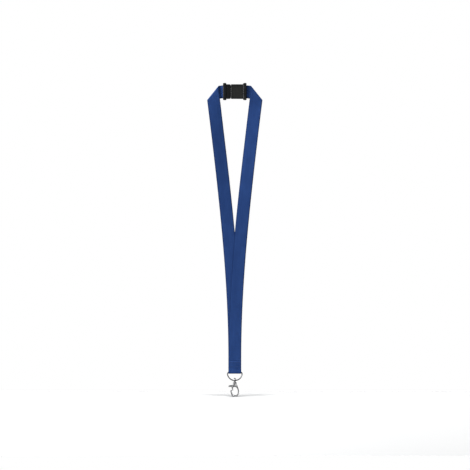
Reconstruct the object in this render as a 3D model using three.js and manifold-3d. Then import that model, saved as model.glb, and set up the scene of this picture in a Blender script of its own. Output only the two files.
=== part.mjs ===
// A neck lanyard: two flat woven straps, a pull-apart safety buckle at the nape, a bent-wire D-ring at the
// bottom, and a swivelling trigger hook that hangs from the ring.
//
// Millimetres, +Z up, X across the wearer, front towards -Y. The origin is on the buckle's underside, in the
// middle, where the lanyard rests on a neck or a peg.
import * as THREE from "three";
import { mergeVertices } from "three/addons/utils/BufferGeometryUtils.js";
import Module from "manifold-3d";

const wasm = await Module();
wasm.setup();

// ---------------------------------------------------------------- driving dimensions

const gap = 0.3; // between pieces that touch
const running = 0.2; // round a piece that turns or slides in another

const strapWidth = 20;
const strapThickness = 0.9;
const strapDrop = 426; // from the buckle's underside to the bottom of the strap's loop

const cornerReach = 34.2; // from the middle to each folded corner
const cornerRadius = 1.3; // of the fold, at the strap's mid-surface
const neckSlope = THREE.MathUtils.degToRad(5.5); // how far the strap by the buckle dips towards the corner
const legSlope = THREE.MathUtils.degToRad(6.9); // how far a leg leans at the top
const legTwist = THREE.MathUtils.degToRad(9); // the outer edge comes forward, most of all near the corner

const tabLength = 19.6; // the strap's end, folded up in front of the ring
const tabSeamInset = 2; // from the tab's cut end to the upper seam
const tabSeamPitch = 6.6; // from the upper seam to the lower one
const threadRadius = 0.25;
const stitchLength = 2.2;
const stitchCount = 8;

const buckleHeight = strapWidth + 2.5;
const buckleDepth = 6;
const buckleCorner = 1.6;
const buckleEdge = 0.7;
const mouthPlace = 6.2; // from the middle to the socket's mouth, towards the plug
const ridgeInner = 12.8; // the raised rib over the strap's end, measured from the middle
const ridgeOuter = 18.4;
const ridgeHeight = strapWidth + 6.5;
const ridgeProud = 0.8; // in front of the buckle's face
const crossbarWidth = 3.2;
const crossbarDepth = 2.45;
const socketWallDepth = 1.25; // the socket's front and back walls
const socketWallHeight = 2.25; // its upper and lower walls
const socketDepth = 14.8;
const prongLength = 13.8; // from the plug's shoulder
const prongHeight = 3.9;
const guideHeight = 6.4;
const latchProud = 0.3;

const wireRadius = 0.9;
const ringInnerWidth = strapWidth + 0.6;
const ringCorner = 1.6;
const ringDrop = 1.2; // from the bar's axis down to the arc's centre
const ringArc = ringInnerWidth / 2 + wireRadius + 0.2; // the radius of its round part, at the wire's axis
const ringButtGap = 0.4;

const eyeHole = 2;
const eyeSection = 1.15;
const eyeThickness = 1.3;
const eyeTurn = THREE.MathUtils.degToRad(-38);
const stemRadius = 1.05;
const stemHeadRadius = 1.5;
const stemHeadHeight = 0.8;

const hookHeight = 22.7; // from its foot to the top of its barrel
const hookHalfWidth = 6.9;
const limbWidth = 2.2;
const limbDepth = 2.8;
const barrelRadius = 2.8;
const barrelHeight = 1.6;
const cheekDepth = 5;
const gateDepth = 1.5;
const pinRadius = 0.55;
const springRadius = 0.5;
const springWire = 0.13;
const springTurns = 4.5;

// ---------------------------------------------------------------- worked-out places

const layerPitch = strapThickness + gap;
const wrapRadius = wireRadius + gap + strapThickness / 2;
const barHeight = -strapDrop + strapThickness / 2 + wrapRadius; // of the ring's straight bar
const tabEnd = -strapDrop + tabLength;
const seamHeights = [tabEnd - tabSeamInset, tabEnd - tabSeamInset - tabSeamPitch];
const legEnd = tabEnd + 2.4; // below this the legs lie flat on each other

const buckleMiddle = buckleHeight / 2;
const slotHeight = strapWidth + 2.2;
const windowHeight = strapWidth + 1;
const channelMiddle = -1; // where the strap lies under the rib, in depth
const crossbarFront = channelMiddle + strapThickness / 2 + gap;
const crossbarMiddle = crossbarFront + crossbarDepth / 2;
const crossbarWrap = crossbarDepth / 2 + gap + strapThickness / 2;
const crossbarInner = ridgeInner + 0.4;
const crossbarAxis = crossbarInner + crossbarDepth / 2;
const crossbarDip = 0.1; // how far the strap sits below its place on the crossbar, to be near its middle
const pocketInner = crossbarAxis - crossbarWrap - strapThickness / 2 - gap;
const segmentDepth = 0.3; // of the strap between the rib and the corner
const tailDepth = crossbarMiddle + crossbarWrap;
const tailReach = cornerReach - 10.4; // where the sewn-back end stops
const neckSeamPlace = tailReach - 1.8;

const ringHalfWidth = ringInnerWidth / 2 + wireRadius;
const arcHeight = barHeight - ringDrop;
const wireBottom = arcHeight - ringArc; // the wire's axis at the ring's lowest point
const eyeMiddle = wireBottom - wireRadius - running + eyeHole;
const eyeBottom = eyeMiddle - eyeHole - eyeSection;
const hookTop = eyeBottom - gap;
const hookFoot = hookTop - hookHeight;
const boreEnd = hookHeight - barrelHeight;
const headPocket = stemHeadHeight + 2 * gap;
const slotTop = boreEnd - headPocket;
const openingTop = slotTop - 4.4; // of the space inside the hook
const hookWaist = openingTop / 1.8; // the height where the hook is widest
const pivot = { x: -1.3, z: slotTop - 2.6 };
const springPlace = pivot.x + 2.4;

// ---------------------------------------------------------------- helpers

const colours = { strap: 0x243f71, plastic: 0x1d1e1f, steel: 0xb9bcc0, thread: 0x1f3765 };
const finish = {
  strap: new THREE.MeshStandardMaterial({ color: colours.strap, roughness: 0.9, metalness: 0 }),
  plastic: new THREE.MeshStandardMaterial({ color: colours.plastic, roughness: 0.45, metalness: 0 }),
  steel: new THREE.MeshStandardMaterial({ color: colours.steel, roughness: 0.25, metalness: 1 }),
  thread: new THREE.MeshStandardMaterial({ color: colours.thread, roughness: 0.8, metalness: 0 }),
};

const vector = (x, y, z) => new THREE.Vector3(x, y, z);
const smooth = (t) => t * t * (3 - 2 * t);

function solid(geometry) {
  const bare = geometry.clone();
  bare.deleteAttribute("normal");
  bare.deleteAttribute("uv");
  const merged = mergeVertices(bare, 1e-4);
  const mesh = new wasm.Mesh({
    numProp: 3,
    vertProperties: merged.attributes.position.array,
    triVerts: new Uint32Array(merged.index.array),
  });
  return new wasm.Manifold(mesh);
}

function join(...solids) {
  return solids.reduce((whole, next) => whole.add(next));
}

function cut(from, ...tools) {
  return tools.reduce((whole, tool) => whole.subtract(tool), from);
}

function meshOf(name, shape, material) {
  const made = shape.getMesh();
  const geometry = new THREE.BufferGeometry();
  geometry.setAttribute("position", new THREE.BufferAttribute(made.vertProperties, made.numProp));
  geometry.setIndex(new THREE.BufferAttribute(made.triVerts, 1));
  geometry.computeVertexNormals();
  const mesh = new THREE.Mesh(geometry, material);
  mesh.name = name;
  return mesh;
}

// A box between two opposite corners.
function block(low, high) {
  const size = high.map((value, i) => value - low[i]);
  const box = new THREE.BoxGeometry(...size);
  box.translate(...low.map((value, i) => value + size[i] / 2));
  return solid(box);
}

// A cylinder from one height to another on a vertical axis.
function post(radius, low, high, sides = 24) {
  const cylinder = new THREE.CylinderGeometry(radius, radius, high - low, sides);
  cylinder.rotateX(Math.PI / 2);
  cylinder.translate(0, 0, (low + high) / 2);
  return solid(cylinder);
}

// A cylinder that runs front to back through (x, z).
function crossPin(radius, x, z, halfLength, sides = 20) {
  const cylinder = new THREE.CylinderGeometry(radius, radius, 2 * halfLength, sides);
  cylinder.translate(x, 0, z);
  return solid(cylinder);
}

// An outline drawn in X and Z, given a depth about y = 0, with its edges rounded by edge.
function slab(outline, depth, edge = 0, curveSegments = 12) {
  const geometry = new THREE.ExtrudeGeometry(outline, {
    depth: depth - 2 * edge,
    bevelEnabled: edge > 0,
    bevelThickness: edge,
    bevelSize: edge,
    bevelOffset: -edge,
    bevelSegments: 2,
    curveSegments,
    steps: 1,
  });
  geometry.translate(0, 0, edge - depth / 2);
  geometry.rotateX(Math.PI / 2);
  return solid(geometry);
}

function polygon(points) {
  return new THREE.Shape(points.map(([x, z]) => new THREE.Vector2(x, z)));
}

function roundedRectangle(left, right, low, high, radius) {
  const shape = new THREE.Shape();
  shape.absarc(right - radius, low + radius, radius, -Math.PI / 2, 0);
  shape.absarc(right - radius, high - radius, radius, 0, Math.PI / 2);
  shape.absarc(left + radius, high - radius, radius, Math.PI / 2, Math.PI);
  shape.absarc(left + radius, low + radius, radius, Math.PI, Math.PI * 1.5);
  return shape;
}

// A round wire along a curve.
function wire(curve, radius, steps, sides) {
  const section = new THREE.Shape().absarc(0, 0, radius, 0, 2 * Math.PI);
  const along = { extrudePath: curve, steps, curveSegments: sides, bevelEnabled: false };
  return solid(new THREE.ExtrudeGeometry(section, along));
}

// ---------------------------------------------------------------- straps

// A flat strap is a list of rows. Each row has a centre, a vector across the strap and the way its face looks.
// The walker lays rows as it goes along the strap, and rolls it about creases, as paper is folded.
class Strap {
  constructor(at, along, face) {
    this.at = at.clone();
    this.along = along.clone();
    this.face = face.clone();
    this.rows = [];
    this.mark();
  }

  get across() {
    return this.face.clone().cross(this.along);
  }

  mark(across = this.across, face = this.face) {
    this.rows.push({ centre: this.at.clone(), across: across.clone(), face: face.clone() });
  }

  skip(distance) {
    this.at.addScaledVector(this.along, distance);
    return this;
  }

  forward(distance) {
    this.skip(distance).mark();
    return this;
  }

  // An S-shaped step of the given rise towards the face.
  jog(distance, rise, steps = 6) {
    const start = this.at.clone();
    for (let i = 1; i <= steps; i++) {
      const t = i / steps;
      const slope = (rise * 6 * t * (1 - t)) / distance;
      this.at.copy(start).addScaledVector(this.along, distance * t);
      this.at.addScaledVector(this.face, rise * smooth(t));
      this.mark(this.across, this.face.clone().addScaledVector(this.along, -slope).normalize());
    }
    return this;
  }

  // Turns the walk within the strap's own plane.
  head(along) {
    this.along = along.clone();
    return this;
  }

  // Rolls the strap round a crease. The crease leans from square-across by slant, and the strap curls towards
  // its face (side 1) or away from it (side -1).
  roll(radius, turn, side, slant, steps, spread = 1) {
    const { along: u, face: n, across: v } = this;
    const ahead = u.clone().multiplyScalar(Math.cos(slant)).addScaledVector(v, Math.sin(slant));
    const crease = v.clone().multiplyScalar(Math.cos(slant)).addScaledVector(u, -Math.sin(slant));
    const start = this.at.clone();
    const axisShare = u.dot(crease);
    const aheadShare = u.dot(ahead);
    const creaseRow = crease.clone().multiplyScalar(spread / Math.cos(slant));
    for (let i = 0; i <= steps; i++) {
      const angle = (turn * i) / steps;
      const sine = Math.sin(angle);
      const cosine = Math.cos(angle);
      this.at.copy(start).addScaledVector(ahead, radius * sine);
      this.at.addScaledVector(n, side * radius * (1 - cosine));
      this.at.addScaledVector(crease, (axisShare * radius * angle) / aheadShare);
      const tangent = ahead.clone().multiplyScalar(cosine).addScaledVector(n, side * sine);
      this.face = n.clone().multiplyScalar(cosine).addScaledVector(ahead, -side * sine);
      this.along = crease.clone().multiplyScalar(axisShare).addScaledVector(tangent, aheadShare);
      this.mark(creaseRow);
    }
    return this;
  }

  // Lays a row on the leg's curve and goes on from there.
  follow(place) {
    this.at.copy(place.centre);
    this.along.copy(place.along);
    this.face.copy(place.face);
    this.mark(place.across);
    return this;
  }

  // The strap as a solid: a box with one slice for each row, its slices laid on the rows.
  body() {
    const box = new THREE.BoxGeometry(strapWidth, strapThickness, 1, 1, 1, this.rows.length - 1);
    const position = box.attributes.position;
    const corner = new THREE.Vector3();
    for (let i = 0; i < position.count; i++) {
      corner.fromBufferAttribute(position, i);
      const row = this.rows[Math.round((corner.z + 0.5) * (this.rows.length - 1))];
      const place = row.centre.clone();
      place.addScaledVector(row.across, corner.x).addScaledVector(row.face, corner.y);
      position.setXYZ(i, place.x, place.y, place.z);
    }
    return solid(box);
  }
}

// The strap's end on a buckle half: sewn-back tail, turn round the crossbar, way out under the rib, folded
// corner and the start of the leg.
function neckEnd() {
  const outwards = vector(Math.cos(neckSlope), 0, -Math.sin(neckSlope));
  const run = (distance) => distance / Math.cos(neckSlope);
  const rise = (distance) => distance * Math.tan(neckSlope);
  const fan = rise(strapWidth / 2) + 0.2; // the sloping edges meet the level turn within this length
  const channelPlace = crossbarAxis + 2;
  const turnHeight = buckleMiddle + rise(channelPlace - crossbarAxis) - crossbarDip;
  const jogLength = 3.6;
  const outOfCrossbar = crossbarInner + crossbarWidth + gap;
  const tailRun = tailReach - outOfCrossbar - jogLength;

  const start = vector(tailReach, segmentDepth + layerPitch, turnHeight - rise(tailReach - crossbarAxis));
  const strap = new Strap(start, outwards.clone().negate(), vector(0, 1, 0));
  strap.forward(run(tailRun)).jog(run(jogLength), tailDepth - segmentDepth - layerPitch);
  strap.forward(run(outOfCrossbar - crossbarAxis - fan)).skip(run(fan));
  strap.head(vector(-1, 0, 0)).roll(crossbarWrap, Math.PI, -1, 0, 8, run(1));
  strap.head(outwards).skip(run(fan)).forward(run(outOfCrossbar - crossbarAxis - fan));
  strap.jog(run(jogLength), channelMiddle - segmentDepth);

  const slant = Math.PI / 4 + (neckSlope - legSlope) / 2;
  const halfFold = (Math.PI * cornerRadius) / 2 / Math.cos(slant);
  const squareToCrease = (strapWidth / 2) * Math.tan(slant);
  const toCorner = run(cornerReach - strap.at.x);
  strap.forward(toCorner - halfFold - squareToCrease - 0.4).skip(squareToCrease + 0.4);
  strap.roll(cornerRadius, Math.PI, 1, slant, 10);
  return strap.forward(squareToCrease + 1);
}

const legTop = neckEnd().at;
const legLength = legTop.z - legEnd;
const legShare = legTop.x / (Math.tan(legSlope) * legLength);
const legBend = legShare / (1 - legShare); // how late the leg turns upright
const twistFall = 6; // how soon the twist dies away

// A row of the leg at a height. The leg starts at the corner, leaning, and ends upright in the middle at
// endDepth; settle is 1 for an even way back, and more for one that comes early.
function legRow(height, endDepth, settle) {
  const t = THREE.MathUtils.clamp((height - legEnd) / legLength, 0, 1);
  const lean = Math.tan(legSlope) * (1 - (1 - t) ** legBend);
  const reach = t - (1 - (1 - t) ** (legBend + 1)) / (legBend + 1);
  const x = Math.tan(legSlope) * legLength * reach;
  const fall = legTop.y - endDepth;
  const depthAt = (s) => endDepth + fall * smooth(s) ** settle;
  const step = 1e-3;
  const bulge = (depthAt(Math.min(1, t + step)) - depthAt(Math.max(0, t - step))) / (2 * step * legLength);
  const twistNorm = (twistFall + 1) ** (twistFall + 1) / twistFall ** twistFall;
  const twist = legTwist * twistNorm * t ** twistFall * (1 - t);

  const along = vector(-lean, -bulge, -1).normalize();
  const level = vector(-1, 0, lean).normalize();
  const square = along.clone().cross(level).normalize();
  const across = level.clone().multiplyScalar(Math.cos(twist)).addScaledVector(square, Math.sin(twist));
  const face = square.clone().multiplyScalar(Math.cos(twist)).addScaledVector(level, -Math.sin(twist));
  return { centre: vector(x, depthAt(t), height), along, across, face };
}

function followLeg(strap, from, to, endDepth, settle, steps) {
  for (let i = 1; i <= steps; i++) strap.follow(legRow(from + ((to - from) * i) / steps, endDepth, settle));
  return strap;
}

const frontLeg = { depth: 0, settle: 1 };
const rearLeg = { depth: layerPitch, settle: 2 };
const splitHeight = legTop.z - 48; // where the rear strap's solid is parted, below the corner

// Sewing: a needle hole through all the layers at each stitch, and the thread of one seam as one solid, which
// runs over the front and the back and through the holes.
function seamPlaces(middle, direction) {
  const places = [];
  for (let i = 0; i <= stitchCount; i++) {
    const offset = (i - stitchCount / 2) * stitchLength;
    places.push(middle.clone().addScaledVector(direction, offset));
  }
  return places;
}

function needleHoles(places) {
  return places.map((place) => {
    const hole = new THREE.CylinderGeometry(threadRadius + running, threadRadius + running, 12, 8);
    hole.translate(place.x, place.y, place.z);
    return solid(hole);
  });
}

function seamThread(places, front, back) {
  const first = places[0];
  const last = places[places.length - 1];
  const runLength = first.distanceTo(last) + 2 * threadRadius;
  const lift = threadRadius + 0.1;
  const pieces = [front - lift, back + lift].map((depth) => {
    const thread = new THREE.CylinderGeometry(threadRadius, threadRadius, runLength, 8);
    if (Math.abs(last.x - first.x) > Math.abs(last.z - first.z)) thread.rotateZ(Math.PI / 2);
    else thread.rotateX(Math.PI / 2);
    const middle = first.clone().lerp(last, 0.5);
    thread.translate(middle.x, depth, middle.z);
    return solid(thread);
  });
  for (const place of places) {
    const through = back - front + 2 * lift;
    const thread = new THREE.CylinderGeometry(threadRadius * 0.9, threadRadius * 0.9, through, 8);
    thread.translate(place.x, (front + back) / 2, place.z);
    pieces.push(solid(thread));
  }
  return join(...pieces);
}

const tabSeams = seamHeights.map((height) => seamPlaces(vector(0, 0, height), vector(1, 0, 0)));
const neckSeamHeight = buckleMiddle - (neckSeamPlace - crossbarAxis - 2) * Math.tan(neckSlope);
const neckSeam = seamPlaces(vector(neckSeamPlace, 0, neckSeamHeight), vector(0, 0, 1));

function frontStrap() {
  const strap = followLeg(neckEnd(), legTop.z, legEnd, frontLeg.depth, frontLeg.settle, 44);
  strap.forward(legEnd - barHeight - wireRadius - 2 * gap);
  return cut(strap.body(), ...needleHoles(neckSeam), ...tabSeams.flatMap(needleHoles));
}

function rearStrapNeck() {
  const strap = followLeg(neckEnd(), legTop.z, splitHeight, rearLeg.depth, rearLeg.settle, 6);
  return cut(strap.body(), ...needleHoles(neckSeam));
}

// The rear leg, its turn round the ring's bar and the tab that comes up in front.
function rearStrapLeg() {
  const top = splitHeight - gap;
  const first = legRow(top, rearLeg.depth, rearLeg.settle);
  const strap = new Strap(first.centre, first.along, first.face);
  strap.rows = [];
  strap.follow(first);
  followLeg(strap, top, legEnd, rearLeg.depth, rearLeg.settle, 40);
  const bulgeLength = 5;
  const bulge = wrapRadius - layerPitch;
  strap.forward(legEnd - barHeight - bulgeLength).jog(bulgeLength, bulge, 4);
  strap.roll(wrapRadius, Math.PI, -1, 0, 12);
  strap.jog(bulgeLength, -bulge, 4).forward(tabEnd - barHeight - bulgeLength);
  return cut(strap.body(), ...tabSeams.flatMap(needleHoles));
}

// ---------------------------------------------------------------- buckle

// The end that holds the strap, on the +X side: a rib across the front, cheeks above and below it, and a
// crossbar behind, which the strap goes round.
function strapEnd(body) {
  const ridgeDepth = buckleDepth / 2 + ridgeProud + crossbarFront + crossbarDepth;
  const ridge = slab(
    roundedRectangle(ridgeInner, ridgeOuter, -ridgeHeight / 2, ridgeHeight / 2, buckleCorner),
    ridgeDepth,
    1,
    6,
  ).translate([0, (crossbarFront + crossbarDepth - buckleDepth / 2 - ridgeProud) / 2, 0]);
  const channelFront = channelMiddle - strapThickness / 2 - gap;
  const window = block(
    [pocketInner, channelFront, -windowHeight / 2],
    [ridgeInner + 1, buckleDepth, windowHeight / 2],
  );
  const channel = block(
    [ridgeInner + 0.5, channelFront, -slotHeight / 2],
    [ridgeOuter + 1, buckleDepth, slotHeight / 2],
  );
  const nose = post(crossbarDepth / 2, -slotHeight / 2 - 0.6, slotHeight / 2 + 0.6, 20);
  const bar = block(
    [crossbarAxis, crossbarFront, -slotHeight / 2 - 0.6],
    [crossbarInner + crossbarWidth, crossbarFront + crossbarDepth, slotHeight / 2 + 0.6],
  );
  const crossbar = join(nose.translate([crossbarAxis, crossbarMiddle, 0]), bar);
  return join(cut(join(body, ridge), window, channel), crossbar);
}

function buckleShell(from, to) {
  const half = buckleHeight / 2;
  return slab(roundedRectangle(from, to, -half, half, buckleCorner), buckleDepth, buckleEdge, 6);
}

const panelDepth = 0.35;

function socket() {
  const cavityHalfDepth = buckleDepth / 2 - socketWallDepth;
  const cavityHalfHeight = buckleHeight / 2 - socketWallHeight;
  const cavityEnd = socketDepth - mouthPlace;
  const cavity = block(
    [-mouthPlace - 1, -cavityHalfDepth, -cavityHalfHeight],
    [cavityEnd, cavityHalfDepth, cavityHalfHeight],
  );
  const catchPlace = prongLength - mouthPlace - 3;
  const catches = block(
    [catchPlace - 1.6, -cavityHalfDepth, -cavityHalfHeight - 0.7],
    [catchPlace + 1.6, cavityHalfDepth, cavityHalfHeight + 0.7],
  );
  const panel = slab(
    roundedRectangle(-mouthPlace + 1.7, ridgeInner - 2.6, -buckleHeight / 2 + 2, buckleHeight / 2 - 2, 1.2),
    2 * panelDepth,
  );
  const body = strapEnd(buckleShell(-mouthPlace, ridgeInner + 1));
  return cut(body, cavity, catches, panel.translate([0, -buckleDepth / 2, 0]));
}

// The plug is drawn as the socket is, with its strap on the +X side and its prongs towards -X.
function plug() {
  const shoulder = mouthPlace + gap;
  const cavityHalfDepth = buckleDepth / 2 - socketWallDepth;
  const cavityHalfHeight = buckleHeight / 2 - socketWallHeight;
  const prongDepth = 2 * (cavityHalfDepth - gap);
  const root = shoulder + 1;
  const tip = shoulder - prongLength;
  const outer = cavityHalfHeight - gap - latchProud;
  const inner = outer - prongHeight;
  const prong = polygon([
    [root, inner - 1],
    [root, outer],
    [tip + 4.4, outer],
    [tip + 3.4, outer + latchProud],
    [tip + 2.2, outer + latchProud],
    [tip + 0.4, outer - 0.9],
    [tip, outer - 1.6],
    [tip, inner + 0.8],
    [tip + 0.8, inner],
    [shoulder - 1, inner],
  ]);
  const upper = slab(prong, prongDepth);
  const lower = slab(prong, prongDepth).rotate([180, 0, 0]);
  const guide = slab(
    roundedRectangle(tip + 1.4, root, -guideHeight / 2, guideHeight / 2, 0.8),
    prongDepth,
  );
  const grooves = [0, 1, 2].flatMap((i) => {
    const place = shoulder + 1.6 + 1.35 * i;
    return [-1, 1].map((side) =>
      block(
        [place - 0.3, side * buckleDepth * 0.5 - 0.35, -buckleHeight / 2 + 1.8],
        [place + 0.3, side * buckleDepth * 0.5 + 0.35, buckleHeight / 2 - 1.8],
      ),
    );
  });
  const body = cut(strapEnd(buckleShell(shoulder, ridgeInner + 1)), ...grooves);
  return join(body, upper, lower, guide);
}

// ---------------------------------------------------------------- ring and hook

// The ring is bent from wire, and its two ends meet inside the strap's loop.
function ring() {
  const side = Math.acos(ringHalfWidth / ringArc);
  const outline = new THREE.Path();
  outline.moveTo(ringButtGap / 2, 0);
  outline.lineTo(ringHalfWidth - ringCorner, 0);
  outline.absarc(ringHalfWidth - ringCorner, -ringCorner, ringCorner, Math.PI / 2, 0, true);
  outline.absarc(0, -ringDrop, ringArc, -side, side - Math.PI, true);
  outline.absarc(ringCorner - ringHalfWidth, -ringCorner, ringCorner, Math.PI, Math.PI / 2, true);
  outline.lineTo(-ringButtGap / 2, 0);
  const points = outline.getSpacedPoints(90).map((p) => vector(p.x, 0, p.y));
  return wire(new THREE.CatmullRomCurve3(points), wireRadius, 80, 7);
}

// The eye hangs on the ring, and its stem ends in a head that was peened inside the hook.
function swivelEye() {
  const band = new THREE.Shape().absarc(0, 0, eyeHole + eyeSection, 0, 2 * Math.PI);
  band.holes.push(new THREE.Path().absarc(0, 0, eyeHole, 0, 2 * Math.PI));
  const loop = slab(band, eyeThickness, 0.35, 16).rotate([0, 0, 90]);
  const headTop = -(eyeHole + eyeSection) - gap - barrelHeight - gap;
  const stem = post(stemRadius, headTop - stemHeadHeight, -eyeHole - eyeSection / 2);
  const head = post(stemHeadRadius, headTop - stemHeadHeight, headTop);
  return join(loop, stem, head);
}

// Half of a closed outline that is the same on both sides, from its top middle to its bottom middle.
function pear(half) {
  const right = half.map(([x, z]) => new THREE.Vector2(x, z));
  const left = half.slice(1, -1).reverse().map(([x, z]) => new THREE.Vector2(-x, z));
  const shape = new THREE.Shape();
  shape.moveTo(right[0].x, right[0].y);
  shape.splineThru([...right.slice(1), ...left, right[0]]);
  return shape;
}

function hookBody() {
  const wide = hookHalfWidth;
  const inner = wide - limbWidth;
  const footTop = limbWidth + 0.2;
  const outerHalf = [
    [0, boreEnd - 0.3],
    [2.5, boreEnd - 0.7],
    [3.5, slotTop - 0.6],
    [4.6, slotTop - 3.6],
    [5.9, hookWaist + 4],
    [wide, hookWaist],
    [wide - 1.3, 3.2],
    [3.7, 0.4],
    [0, 0],
  ];
  const innerHalf = [
    [0, openingTop],
    [2.2, openingTop - 0.8],
    [3.7, openingTop - 3],
    [inner, hookWaist],
    [inner - 1.2, 4.4],
    [2.3, footTop + 0.15],
    [0, footTop],
  ];
  const cheekHalf = [
    [2.5, boreEnd + 0.4],
    [3.7, slotTop - 0.6],
    [4.3, openingTop + 1.6],
    [2.6, openingTop + 0.1],
  ];
  const cheekLeft = cheekHalf.slice().reverse().map(([x, z]) => [-x * 0.92, z]);
  const body = slab(pear(outerHalf), limbDepth, 0.7, 5);
  const opening = slab(pear(innerHalf), 2 * limbDepth, 0, 5);
  const seat = block([-1.9, -limbDepth, footTop - 0.05], [1.9, limbDepth, footTop + 0.8]);
  const foot = block([-2.6, -limbDepth, -1], [2.6, limbDepth, 0.12]);
  const cheeks = slab(polygon([...cheekHalf, ...cheekLeft]), cheekDepth, 0.8);
  const barrel = post(barrelRadius, boreEnd - 0.6, hookHeight, 28);
  const bore = post(stemRadius + running, boreEnd - 0.5, hookHeight + 1);
  const pocket = post(stemHeadRadius + running, slotTop - 0.1, boreEnd);
  const slotHalf = gateDepth / 2 + running;
  const slot = block([-8, -slotHalf, openingTop - 1.6], [2.7, slotHalf, slotTop]);
  const window = slab(
    polygon([
      [0.1, pivot.z - 0.9],
      [2, pivot.z - 0.9],
      [2.5, slotTop],
      [2.4, slotTop + 0.9],
      [1.4, slotTop + 0.9],
      [0.7, slotTop - 1],
    ]),
    2 * cheekDepth,
  );
  const tip = hookWaist + 2.1;
  const gateway = slab(
    polygon([
      [-9, tip],
      [-6.4, tip],
      [-4.2, tip + 0.3],
      [-2.4, tip],
      [-2.2, openingTop - 0.6],
      [-2.7, pivot.z - 0.8],
      [-3.4, pivot.z + 1.4],
      [-9, pivot.z + 1.4],
    ]),
    2 * limbDepth,
  );
  const pinHole = crossPin(pinRadius + running / 2, pivot.x, pivot.z, cheekDepth);
  const ringPart = cut(body, opening, gateway, seat, foot);
  return cut(join(ringPart, cheeks, barrel), bore, pocket, slot, window, pinHole);
}

// The gate: an arm that closes the hook's mouth from inside, a thumb tab and a short tail under the spring.
// Its places are measured from the pin.
function gate() {
  const armEnd = hookWaist + 1.1 - pivot.z;
  const blade = polygon([
    [3.3, -0.5],
    [3.2, -1.2],
    [0.6, -1.3],
    [-1, -1.6],
    [-1.4, -3.6],
    [-1.3, armEnd],
    [-2.4, armEnd - 0.1],
    [-2.7, armEnd + 1.7],
    [-3.5, -4.2],
    [-3.7, -2.5],
    [-4.4, -1.7],
    [-8.3, -1.9],
    [-8.6, -0.9],
    [-8.1, 0.2],
    [-2.2, 1.3],
    [0, 1.1],
    [1.1, 0.6],
    [1.4, -0.5],
  ]);
  const thumb = polygon([
    [-4.6, -1.7],
    [-8.3, -1.9],
    [-8.8, -0.9],
    [-8.2, 0.3],
    [-4.4, 1],
  ]);
  const pinHole = crossPin(pinRadius + running, 0, 0, cheekDepth);
  const made = cut(join(slab(blade, gateDepth), slab(thumb, 3.4, 0.35)), pinHole);
  return made.translate([pivot.x, 0, pivot.z]);
}

class Coil extends THREE.Curve {
  constructor(radius, height, turns) {
    super();
    Object.assign(this, { radius, height, turns });
  }

  getPoint(t, target = new THREE.Vector3()) {
    const angle = 2 * Math.PI * this.turns * t;
    return target.set(this.radius * Math.cos(angle), this.radius * Math.sin(angle), this.height * t);
  }
}

function gateSpring() {
  const seat = pivot.z - 0.5;
  const height = slotTop - seat - 2 * springWire - 0.3;
  const coil = wire(new Coil(springRadius, height, springTurns), springWire, 56, 3);
  return coil.translate([springPlace, 0, seat + springWire + 0.15]);
}

// ---------------------------------------------------------------- the lanyard

function groupAt(x, z, ...meshes) {
  const group = new THREE.Group();
  group.position.set(x, 0, z);
  group.add(...meshes);
  return group;
}

// What is drawn on the +X side and belongs on the -X side.
function mirrored(...children) {
  const group = new THREE.Group();
  group.scale.x = -1;
  group.add(...children);
  return group;
}

const neckFront = segmentDepth - strapThickness / 2;
const neckBack = segmentDepth + layerPitch + strapThickness / 2;
const neckThread = () => seamThread(neckSeam, neckFront, neckBack);
const tabFront = -layerPitch - strapThickness / 2;
const tabBack = layerPitch + strapThickness / 2;
const pinHalfLength = cheekDepth / 2 - 0.1;

const lanyard = new THREE.Group();
lanyard.add(
  meshOf("strap_right", frontStrap(), finish.strap),
  meshOf("seam_socket_end", neckThread(), finish.thread),
  meshOf("seam_tab_upper", seamThread(tabSeams[0], tabFront, tabBack), finish.thread),
  meshOf("seam_tab_lower", seamThread(tabSeams[1], tabFront, tabBack), finish.thread),
  groupAt(0, buckleMiddle, meshOf("buckle_socket", socket(), finish.plastic)),
  mirrored(
    meshOf("strap_left", rearStrapLeg(), finish.strap),
    meshOf("strap_left_neck", rearStrapNeck(), finish.strap),
    meshOf("seam_plug_end", neckThread(), finish.thread),
    groupAt(0, buckleMiddle, meshOf("buckle_plug", plug(), finish.plastic)),
  ),
  groupAt(0, barHeight, meshOf("d_ring", ring(), finish.steel)),
  groupAt(
    0,
    hookFoot,
    meshOf("hook_body", hookBody(), finish.steel),
    meshOf("gate_lever", gate(), finish.steel),
    meshOf("gate_pin", crossPin(pinRadius, pivot.x, pivot.z, pinHalfLength), finish.steel),
    meshOf("gate_spring", gateSpring(), finish.steel),
  ),
);

const eye = groupAt(0, eyeMiddle, meshOf("swivel_eye", swivelEye(), finish.steel));
eye.rotation.z = eyeTurn;
lanyard.add(eye);

export default lanyard;
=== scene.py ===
"""A neck lanyard of woven webbing, with a moulded pull-apart buckle, a wire D-ring and a cast trigger hook.

Metres, +Z up, front towards -Y. The origin is the middle of the buckle's underside, as in the CAD model.
"""

import math

import bmesh
import bpy
from mathutils import Matrix, Vector, noise


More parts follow.
